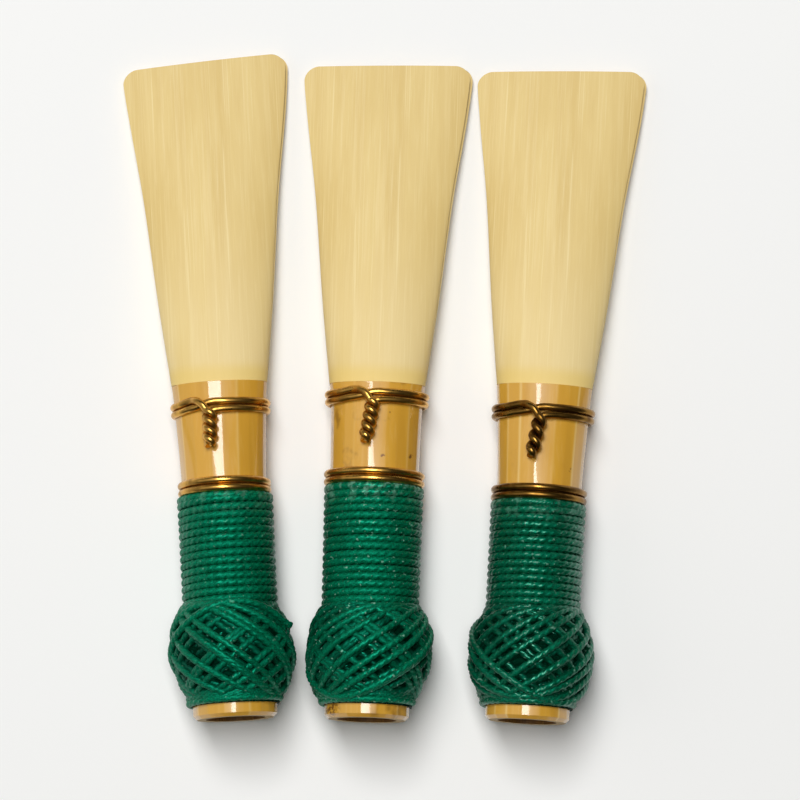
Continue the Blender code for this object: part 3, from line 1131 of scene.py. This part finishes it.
@dataclass(frozen=True)
class Blade:
    """One scraped blade: an arch at the collar that thins and flattens to the slanted tip."""

    form: ReedForm
    side: Side
    columns: int = 72
    blade_rows: int = 96
    corner_rows: int = 16
    tube_roundness: float = 0.5
    tip_roundness: float = 0.9
    bend_reach: float = 7.0 * MM

    @property
    def stations(self) -> list[float]:
        """The rows' stations, which follow the rounded corner at the tip.

        Returns:
            The stations from collar to tip.
        """
        form = self.form
        corner = form.sizes.length - form.tip_corner
        turns = spaced(0.0, math.pi / 2, self.corner_rows + 1)[1:]
        arc = [corner + form.tip_corner * math.sin(turn) for turn in turns]
        return [*spaced(form.collar, corner, self.blade_rows), *arc]

    def point(self, x: float, y: float, z: float) -> Vector:
        """A point of the straight blade, carried by the slanted tip and the lower blade's slip."""
        slip = self.form.sizes.slip * self.form.share(y) if self.side is Side.LOWER else 0.0
        return Vector((x + slip, y + self.form.slant(x, y), self.side.value * z))

    def rise(self, x: float, whole: float, height: float, share: float) -> float:
        """The height of an arch of a given half width at x."""
        roundness = mix(self.tube_roundness, self.tip_roundness, share)
        return height * max(1 - (x / whole) ** 2, 0.0) ** roundness

    def outer(self, across: float, row: int) -> Vector:
        """A point on the scraped face.

        Args:
            across: The share across the blade.
            row: The row's number.

        Returns:
            The point in the reed's frame.
        """
        form, y = self.form, self.stations[row]
        half = form.blade_half_width(y)
        x = (half - form.corner_cut(y)) * math.sin(math.pi * (across - 0.5))
        base = form.edge_gap(y) + form.edge_lip
        z = base + self.rise(x, half, form.blade_half_height(y) - base, form.share(y))
        return self.point(x, y, z)

    def inner(self, across: float, row: int) -> Vector:
        """A point on the gouged face.

        Args:
            across: The share across the blade.
            row: The row's number.

        Returns:
            The point in the reed's frame.
        """
        form, y = self.form, self.stations[row]
        share = form.share(y)
        half = form.blade_half_width(y)
        thickness = mix(form.tip_thickness, form.blade_root, 1 - share)
        edge = mix(form.tip_edge, form.blade_root, 1 - share)
        reach = min(half - edge, half - form.corner_cut(y) - 2 * form.edge_lip)
        x = reach * math.sin(math.pi * (across - 0.5))
        base = form.edge_gap(y)
        height = form.blade_half_height(y) - thickness - base
        return self.point(x, y, base + self.rise(x, half - edge, height, share))

    def build(self, place: ReedPlace, finishes: "Finishes") -> bpy.types.Object:
        """Makes the blade as a piece that bends from the collar on.

        Args:
            place: Where the reed lies.
            finishes: The reed's finishes.

        Returns:
            The piece.
        """
        reed = self.form.sizes.name
        name = f"{reed}_{self.side.label}_scrape"
        mesh = mesh_of(slab(self.columns, len(self.stations) - 1, self.outer, self.inner), name)
        piece = dress(name, mesh, place, (finishes.scraped, finishes.gouged, finishes.scraped))
        start = place.point(0.0, self.form.collar, 0.0)
        end = place.point(0.0, self.form.collar + self.bend_reach, 0.0)
        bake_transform(piece, f"{reed}_reed", f"{reed}_{self.side.label}_blade", start=start, end=end)
        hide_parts(f"{reed}_{self.side.label}_blade")
        return piece


@dataclass(frozen=True)
class TiedWire:
    """A wire of two turns whose ends are twisted together and laid down towards the butt."""

    form: ReedForm
    label: str
    station: float
    centre: float
    side: float
    slant: float
    length: float
    cover: float
    pitch: float
    diameter: float = 0.64 * MM
    snug: float = 0.02 * MM
    hump: float = 0.2 * MM
    steps_per_turn: int = 40
    steps_per_twist: int = 14

    @property
    def row(self) -> float:
        """The distance between the two turns."""
        return self.diameter + self.snug

    @property
    def low(self) -> float:
        """The height of a turn's middle over the bark."""
        return self.diameter / 2 + self.snug

    @property
    def root(self) -> float:
        """The height of the twisted tail's middle over the bark."""
        return self.cover + self.diameter + 2 * self.snug

    def strand(self, phase: float) -> list[tuple[float, float, float]]:
        """One strand of the twisted tail, from its root down, as (across, along, height).

        Args:
            phase: The strand's angle at the root.

        Returns:
            The strand's points.
        """
        drop = self.row / 2 + 0.25 * self.diameter
        count = max(round(self.steps_per_twist * self.length / self.pitch), 8)
        points = []
        for k in range(count + 1):
            share = k / count
            down = self.length * share
            pinch = 1.0 - 0.7 * smoothstep((share - 0.86) / 0.14)
            radius = (self.diameter / 2 + 0.005 * MM) * pinch
            angle = phase - FULL_TURN * down / self.pitch
            across = self.side - down * math.tan(self.slant) + radius * math.cos(angle)
            points.append((across, -drop - down, self.root + radius * math.sin(angle)))
        return points

    def humped(self, across: float) -> float:
        """How far the turns swell towards the tip on their way into the twist."""
        return self.hump * math.exp(-(((across - self.side) / self.diameter + 2.5) ** 2) / 2.6)

    def turns(self) -> list[tuple[float, float, float]]:
        """The two turns as (across, along, height): the low row, then over into the high row.

        Returns:
            The turns' points.
        """
        around = FULL_TURN * self.form.half_width(self.station)
        start, end = self.side + 2.2 * self.diameter, self.side - 3.1 * self.diameter + 2 * around
        middle = self.side + around
        count = round((end - start) / around * self.steps_per_turn)
        points = []
        for across in spaced(start, end, count):
            rise = smoothstep((across - middle) / (3.0 * self.diameter) + 0.85)
            near = across - around * round((across - self.side) / around)
            points.append((across, self.row * (rise - 0.5) + self.humped(near), self.low))
        return points

    def path(self) -> list[Vector]:
        """The whole wire, from one end of its twisted tail to the other.

        Returns:
            The wire's points in the reed's frame.
        """
        wire, row, side = self.diameter, self.row, self.side
        over = self.low + wire
        lead_in = [(side + 1.15 * wire, -row / 2 - 0.06 * wire, mix(self.low, self.root, 0.12))]
        lead_out = [
            (side - 2.3 * wire, row / 2 + 0.98 * self.hump, mix(self.low, over, 0.2)),
            (side - 1.5 * wire, 0.42 * row + 0.6 * self.hump, mix(self.low, over, 0.75)),
            (side - 0.8 * wire, 0.05 * row, over),
        ]
        first, second = self.strand(-0.3 * math.pi), self.strand(0.7 * math.pi)
        flat = [*reversed(first), *lead_in, *self.turns(), *lead_out, *second]
        around = self.form.half_width(self.station)
        points = []
        for across, along, height in flat:
            turn = self.centre + across / around
            bitten = height - self.form.sizes.wire_bite * math.sin(turn) ** 2
            points.append(self.form.bark_point(self.station + along, turn, bitten))
        return points

    def build(self, place: ReedPlace, finishes: "Finishes") -> bpy.types.Object:
        """Makes the wire as a piece that rides on its reed.

        Args:
            place: Where the reed lies.
            finishes: The reed's finishes.

        Returns:
            The piece.
        """
        reed = self.form.sizes.name
        name = f"{reed}_{self.label}_binding_wire"
        mesh = swept(name, self.path(), self.diameter / 2)
        piece = dress(name, mesh, place, (finishes.brass,), 60.0)
        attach(piece, f"{reed}_reed")
        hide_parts(f"{reed}_{self.label}_wire")
        return piece


@dataclass(frozen=True)
class ThreadSection:
    """A three-ply thread's cross-section."""

    radius: float = 0.36 * MM
    lobe: float = 0.068 * MM
    plies: int = 3
    points: int = 12
    ply_length: float = -2.1 * MM

    def outline(self) -> list[tuple[float, float]]:
        """The lobed outline's points.

        Returns:
            The points, in order round the section.
        """
        made = []
        for k in range(self.points):
            angle = FULL_TURN * k / self.points
            radius = self.radius - self.lobe * (1 - abs(math.cos(self.plies * angle / 2)) ** 0.7)
            made.append((radius * math.cos(angle), radius * math.sin(angle)))
        return made


@dataclass(frozen=True)
class ThreadWrap:
    """The close spiral of thread from under the ball up to the second wire."""

    form: ReedForm
    section: ThreadSection = ThreadSection()
    spacing: float = 0.655 * MM
    start: float = 9.4 * MM
    unevenness: float = 0.07 * MM
    bark_gap: float = 0.02 * MM
    steps_per_turn: int = 170

    @property
    def top(self) -> float:
        """The last turn's station, against the second wire."""
        return self.form.second_wire - 0.6 * MM - self.section.radius

    def path(self) -> list[Vector]:
        """The thread's route, with the small unevenness of hand winding.

        Returns:
            The thread's points in the reed's frame.
        """
        turns = (self.top - self.start) / self.spacing + 1.1
        height = self.form.thread_cover - self.section.radius
        points = []
        for k in range(round(turns * self.steps_per_turn) + 1):
            turn = FULL_TURN * k / self.steps_per_turn
            lap = turn / FULL_TURN
            drift = self.unevenness * wander(lap * 2.3, self.form.sizes.facet_seed + 0.5)
            station = min(self.start + self.spacing * lap + drift, self.top)
            points.append(self.form.bark_point(station, turn, height))
        return points

    def press(self, mesh: bpy.types.Mesh) -> None:
        """Flattens the thread's underside against the bark and notes how deep each point lies, which the thread's
        finish turns into painted shade.

        Args:
            mesh: The wrapping's mesh, in the reed's own frame.
        """
        depths = []
        for vertex in mesh.vertices:
            a, b = self.form.half_width(vertex.co.y), self.form.half_height(vertex.co.y)
            reach = math.hypot(vertex.co.x / a, vertex.co.z / b)
            depths.append((self.form.thread_cover - (reach - 1.0) * (a + b) / 2) / MM)
            least = 1.0 + self.bark_gap / a
            if reach < least:
                vertex.co.x *= least / reach
                vertex.co.z *= least / reach
        write_attribute(mesh, "depth", "FLOAT", depths)

    def build(self, place: ReedPlace, finishes: "Finishes") -> bpy.types.Object:
        """Makes the wrapping as a piece that rides on its reed.

        Args:
            place: Where the reed lies.
            finishes: The reed's finishes.

        Returns:
            The piece.
        """
        reed = self.form.sizes.name
        name = f"{reed}_spiral_thread"
        mesh = plied(name, self.path(), self.section.outline(), self.section.ply_length)
        self.press(mesh)
        piece = dress(name, mesh, place, (finishes.thread,), 180.0)
        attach(piece, f"{reed}_reed")
        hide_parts(f"{reed}_thread_wrap")
        return piece


@dataclass(frozen=True)
class CrossedBall:
    """The ball of crossed thread: tilted turns that step round, wound over a close core."""

    form: ReedForm
    last_phase: float
    laps: float
    drift: float = 21.0
    tilt_wander: float = 24.0
    reach_wander: float = 0.12
    depth_wander: float = 0.22 * MM
    bury: float = 1.05 * MM
    core_depth: float = 1.05 * MM
    bury_curve: float = 0.85
    stub_laps: float = 0.02
    rim_laps: float = 2.6
    rim_pitch: float = 0.42 * MM
    rim_ease: float = 0.5
    bark_seat: float = 0.7
    rim_seat: float = 0.8
    core_turn: float = 0.62 * MM
    core_swell: float = 0.16 * MM
    core_rows: int = 110
    sleeve_rows: int = 12
    sleeve: float = 0.22 * MM
    stub: float = 0.0
    section: ThreadSection = ThreadSection(radius=0.32 * MM, lobe=0.055 * MM)
    steps_per_turn: int = 200
    core_sides: int = 96

    @property
    def low(self) -> float:
        """The station where the turns swing back at the butt end."""
        return self.form.ball_start + 0.12 * MM

    @property
    def high(self) -> float:
        """The station where the turns swing back at the wrapping."""
        return self.form.ball_end - 0.1 * MM

    def path(self) -> list[Vector]:
        """The thread's route from its first turn on the rim to its free end.

        Returns:
            The thread's points in the reed's frame.
        """
        form, radius = self.form, self.section.radius
        seed = form.sizes.facet_seed + 0.25
        centre, swing = (self.low + self.high) / 2, (self.high - self.low) / 2
        points = []
        for k in range(self.steps_per_turn // 2, round(self.laps * self.steps_per_turn) + 1):
            lap = k / self.steps_per_turn
            left = max(self.laps - lap, 0.0)
            turn = FULL_TURN * lap
            tilt = self.last_phase - self.drift * left + self.tilt_wander * wander(lap * 0.9, seed)
            phase = math.radians(tilt)
            reach = swing * (1 - self.reach_wander * abs(wander(lap * 0.7, seed + 3)))
            depth = radius + self.bury * (left / self.laps) ** self.bury_curve
            depth += self.depth_wander * abs(wander(lap * 1.9, seed + 6))
            lift = self.stub * max(1 - left / self.stub_laps, 0.0)
            point = form.ball_point(centre + reach * math.sin(turn - phase), turn, depth - lift)
            least = form.half_width(point.y) + self.bark_seat * radius
            spread = max(least / math.hypot(point.x, point.z), 1.0)
            over = Vector((point.x * spread, point.y, point.z * spread))
            rim_station = form.ball_start + self.rim_pitch * lap
            rim = form.bark_point(rim_station, turn, self.rim_seat * radius)
            points.append(over.lerp(rim, smoothstep((self.rim_laps - lap) / self.rim_ease)))
        return points

    def core(self) -> bmesh.types.BMesh:
        """The close winding under the strands, spun round the reed, whose near-black finish is painted shade that
        shows between the strands.

        Returns:
            The closed core, in the reed's own frame.
        """
        form = self.form
        top = form.second_wire - 0.7 * MM
        bm = bmesh.new()
        rows = []
        ball_rows = spaced(form.ball_start + 0.05 * MM, form.ball_end, self.core_rows)
        sleeve_rows = spaced(form.ball_end + 0.5 * MM, top, self.sleeve_rows)
        for y in (*ball_rows, *sleeve_rows):
            swell = abs(math.sin(math.pi * y / self.core_turn)) * self.core_swell
            radius = form.half_width(y) + self.sleeve
            if y <= form.ball_end:
                radius = max(form.ball_radius(y) - self.core_depth + swell, radius)
            rows.append(bm.verts.new((0.0, y, radius)))
        first, last = rows[0].co.y, rows[-1].co.y
        rows.insert(0, bm.verts.new((0.0, first, form.half_width(first) + 0.01 * MM)))
        rows.append(bm.verts.new((0.0, last, form.half_width(last) + 0.01 * MM)))
        edges = [bm.edges.new(pair) for pair in zip(rows, rows[1:])]
        edges.append(bm.edges.new((rows[-1], rows[0])))
        bmesh.ops.spin(
            bm, geom=rows + edges, cent=(0, 0, 0), axis=(0, 1, 0), angle=FULL_TURN,
            steps=self.core_sides, use_merge=True,
        )
        for vertex in bm.verts:
            vertex.co.z *= form.half_height(vertex.co.y) / form.half_width(vertex.co.y)
        return bm

    def build(self, place: ReedPlace, finishes: "Finishes") -> list[bpy.types.Object]:
        """Makes the strands and the core as pieces that ride on the reed.

        Args:
            place: Where the reed lies.
            finishes: The reed's finishes.

        Returns:
            The two pieces.
        """
        reed = self.form.sizes.name
        name = f"{reed}_crossed_thread"
        mesh = plied(name, self.path(), self.section.outline(), self.section.ply_length)
        radius = self.form.ball_radius
        # How deep each point lies under the ball's surface, which the thread's finish turns into painted shade.
        depths = [(radius(v.co.y) - math.hypot(v.co.x, v.co.z)) / MM for v in mesh.vertices]
        write_attribute(mesh, "depth", "FLOAT", depths)
        strands = dress(name, mesh, place, (finishes.thread,), 180.0)
        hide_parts(f"{reed}_thread_ball")
        core_name = f"{reed}_ball_core"
        core = dress(core_name, mesh_of(self.core(), core_name), place, (finishes.core,), 80.0)
        for piece in (strands, core):
            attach(piece, f"{reed}_reed")
        return [strands, core]


@dataclass(frozen=True)
class Finishes:
    """One reed's materials."""

    bark: bpy.types.Material
    bore: bpy.types.Material
    cut: bpy.types.Material
    scraped: bpy.types.Material
    gouged: bpy.types.Material
    brass: bpy.types.Material
    thread: bpy.types.Material
    # Painted shade: the near-black thread of the ball's core.
    core: bpy.types.Material


@dataclass(frozen=True)
class ReedLook:
    """How one reed has aged and been finished."""

    stain: float
    glue: float
    gloss: float
    shine: float
    dulled: float
    metal: Colour
    last_phase: float
    ball_laps: float
    greens: tuple[Colour, Colour] = (tint(0, 116, 79), tint(0, 56, 36))
    coat: float = 0.0
    speckles: tuple[tuple[float, float, float], ...] = ()
    stub: float = 0.0


@dataclass(frozen=True)
class BassoonReed:
    """One whole reed."""

    sizes: ReedSizes
    look: ReedLook
    underside_turn: float = math.radians(137.0)
    underside_tail: float = 3.0 * MM

    @property
    def form(self) -> ReedForm:
        """The reed's shape law."""
        return ReedForm(self.sizes)

    def finishes(self) -> Finishes:
        """The reed's materials, named for it.

        Returns:
            The materials.
        """
        name, look, form = self.sizes.name, self.look, self.form
        thread = PliedThread(
            f"{name}_emerald_thread", form.second_wire, look.glue, look.gloss, look.shine, look.coat,
            *look.greens,
        )
        # The core's thread is the green darkened to near black: painted shade for the gaps between the ball's
        # strands.
        core = PliedThread(
            f"{name}_deep_thread", form.second_wire, 0.0, 0.8, 0.05,
            bright=tint(0, 44, 28), deep=tint(0, 22, 12),
        )
        tarnish = tint(96, 64, 22)
        return Finishes(
            bark=Bark(f"{name}_bark", look.stain, look.speckles).make(),
            bore=CutCane(f"{name}_bore", tint(134, 92, 34), tint(84, 50, 14)).make(),
            cut=CutCane(f"{name}_cut_cane", tint(178, 144, 76), tint(128, 100, 46)).make(),
            scraped=ScrapedCane(f"{name}_scraped", form.collar).make(),
            gouged=CutCane(f"{name}_gouged", tint(214, 182, 112), tint(176, 138, 72)).make(),
            brass=SoftBrass(f"{name}_brass", look.metal, tarnish, look.dulled).make(),
            thread=thread.make(),
            core=core.make(),
        )

    def wires(self) -> list[TiedWire]:
        """The first and second wires; the third keeps the frame's own shape under the ball.

        Returns:
            The two wires.
        """
        form, sizes = self.form, self.sizes
        first = TiedWire(
            form, "first", form.first_wire, 0.0, sizes.tail_side,
            math.radians(sizes.tail_slant), sizes.tail_length, 0.0, sizes.tail_pitch,
        )
        second = TiedWire(
            form, "second", form.second_wire, self.underside_turn, 0.0, 0.0,
            self.underside_tail, form.thread_cover, sizes.tail_pitch,
        )
        return [first, second]

    def build(self) -> list[bpy.types.Object]:
        """Makes all the reed's pieces where it lies.

        Returns:
            The reed's pieces.
        """
        form = self.form
        place = ReedPlace.of(form)
        finishes = self.finishes()
        pieces = []
        for side in Side:
            pieces.append(CaneTube(form, side).build(place, finishes))
            pieces.append(Blade(form, side).build(place, finishes))
        pieces += [wire.build(place, finishes) for wire in self.wires()]
        pieces.append(ThreadWrap(form).build(place, finishes))
        ball = CrossedBall(form, self.look.last_phase, self.look.ball_laps, stub=self.look.stub)
        pieces += ball.build(place, finishes)
        hidden = frame["nodes"][f"{self.sizes.name}_third_wire"]
        hidden.material_slots[0].material = finishes.brass
        return pieces


@dataclass(frozen=True)
class Studio:
    """A pale floor, a soft light overhead, a weak one from the left and a long lens."""

    view_width: float = 68.9 * MM
    lens: float = 200.0
    elevation: float = 87.2
    aim: tuple[float, float] = (1.31 * MM, -1.26 * MM)
    floor_size: float = 1.5
    key_size: tuple[float, float] = (0.25, 0.6)
    key_power: float = 6.0
    key_place: tuple[float, float, float] = (-0.07, 0.2, 0.75)
    fill_size: tuple[float, float] = (0.9, 0.9)
    fill_power: float = 1.2
    fill_place: tuple[float, float, float] = (-0.8, 0.1, 0.5)
    sky: float = 0.02

    def floor(self) -> None:
        """The floor, a wide grid at the height that the reeds stand on."""
        bm = bmesh.new()
        bmesh.ops.create_grid(bm, x_segments=2, y_segments=2, size=self.floor_size)
        mesh = mesh_of(bm, "floor")
        mesh.materials.append(PalePaper().make())
        floor = bpy.data.objects.new("floor", mesh)
        bpy.context.scene.collection.objects.link(floor)

    def lamp(
        self, name: str, place: tuple[float, float, float], size: tuple[float, float], power: float
    ) -> None:
        """A rectangular soft light that faces the reeds.

        Args:
            name: The light's name.
            place: Where it hangs.
            size: Its width and its length along the reeds.
            power: Its power in watts.
        """
        light = bpy.data.lights.new(name, "AREA")
        light.shape = "RECTANGLE"
        light.size, light.size_y = size
        light.energy = power
        lamp = bpy.data.objects.new(name, light)
        lamp.location = place
        lamp.rotation_mode = "QUATERNION"
        lamp.rotation_quaternion = (-Vector(place)).to_track_quat("-Z", "Y")
        bpy.context.scene.collection.objects.link(lamp)

    def camera(self) -> None:
        """The camera, almost straight above the reeds with their tips at the top."""
        data = bpy.data.cameras.new("camera")
        data.lens = self.lens
        distance = self.view_width * self.lens / data.sensor_width
        middle = (cad_low + cad_high) / 2 + Vector((*self.aim, 0.0))
        angle = math.radians(self.elevation)
        back = Vector((0.0, -math.cos(angle), math.sin(angle)))
        camera = bpy.data.objects.new("camera", data)
        camera.location = middle + distance * back
        camera.rotation_euler = (math.pi / 2 - angle, 0.0, 0.0)
        bpy.context.scene.collection.objects.link(camera)
        bpy.context.scene.camera = camera

    def build(self) -> None:
        """Sets the whole studio up."""
        self.floor()
        self.camera()
        self.lamp("key", self.key_place, self.key_size, self.key_power)
        self.lamp("fill", self.fill_place, self.fill_size, self.fill_power)
        world = bpy.data.worlds.new("studio")
        world.use_nodes = True
        world.node_tree.nodes["Background"].inputs["Color"].default_value = (*(self.sky,) * 3, 1.0)
        bpy.context.scene.world = world
        bpy.context.scene.view_settings.view_transform = "Standard"


YELLOW_BRASS = tint(214, 165, 80)
ANTIQUE_BRASS = tint(150, 112, 50)

REEDS = (
    BassoonReed(
        ReedSizes(
            name="left",
            length=57.5 * MM,
            throat_width=7.35 * MM,
            tip_width=14.2 * MM,
            tip_slant=3.7,
            slip=0.2 * MM,
            ball_diameter=11.25 * MM,
            wire_drop=2.2 * MM,
            wire_spacing=6.9 * MM,
            tail_side=-0.74 * MM,
            tail_slant=2.0,
            tail_length=3.1 * MM,
            tail_pitch=1.6 * MM,
            wire_bite=0.3 * MM,
            facet_seed=4,
        ),
        ReedLook(
            stain=0.0, glue=0.35, gloss=0.38, shine=1.0, dulled=0.5, metal=YELLOW_BRASS,
            last_phase=276.0, ball_laps=42.21, stub=0.3 * MM,
        ),
    ),
    BassoonReed(
        ReedSizes(
            name="middle",
            length=57.2 * MM,
            throat_width=7.65 * MM,
            tip_width=14.45 * MM,
            tip_slant=1.8,
            slip=0.25 * MM,
            ball_diameter=11.6 * MM,
            wire_drop=1.3 * MM,
            wire_spacing=6.95 * MM,
            tail_side=-0.2 * MM,
            tail_slant=8.0,
            tail_length=3.6 * MM,
            tail_pitch=1.5 * MM,
            wire_bite=0.12 * MM,
            facet_seed=9,
        ),
        ReedLook(
            stain=0.55, glue=0.8, gloss=0.36, shine=1.0, dulled=0.6, metal=YELLOW_BRASS,
            last_phase=80.0, ball_laps=42.5,
            speckles=((0.75, 22.4, 0.28), (1.2, 26.3, 0.12), (3.1, 22.6, 0.3), (-2.9, 0.7, 0.9)),
        ),
    ),
    BassoonReed(
        ReedSizes(
            name="right",
            length=56.9 * MM,
            throat_width=7.3 * MM,
            tip_width=14.5 * MM,
            tip_slant=3.0,
            slip=0.25 * MM,
            ball_diameter=11.25 * MM,
            wire_drop=2.45 * MM,
            wire_spacing=7.05 * MM,
            tail_side=-0.2 * MM,
            tail_slant=9.0,
            tail_length=3.6 * MM,
            tail_pitch=2.0 * MM,
            wire_bite=0.15 * MM,
            facet_seed=15,
        ),
        ReedLook(
            stain=0.1, glue=0.5, gloss=0.33, shine=0.9, coat=0.25, dulled=0.8, metal=ANTIQUE_BRASS,
            greens=(tint(0, 96, 64), tint(0, 42, 26)),
            last_phase=130.0, ball_laps=42.5, speckles=((2.6, 21.6, 0.25),),
        ),
    ),
)


def main() -> None:
    """Builds the studio and the three reeds."""
    logging.basicConfig(level=logging.INFO, format="%(message)s")
    Studio().build()
    for reed in REEDS:
        pieces = reed.build()
        log.info("%s reed: %d pieces", reed.sizes.name, len(pieces))


if __name__ == "__main__":
    main()
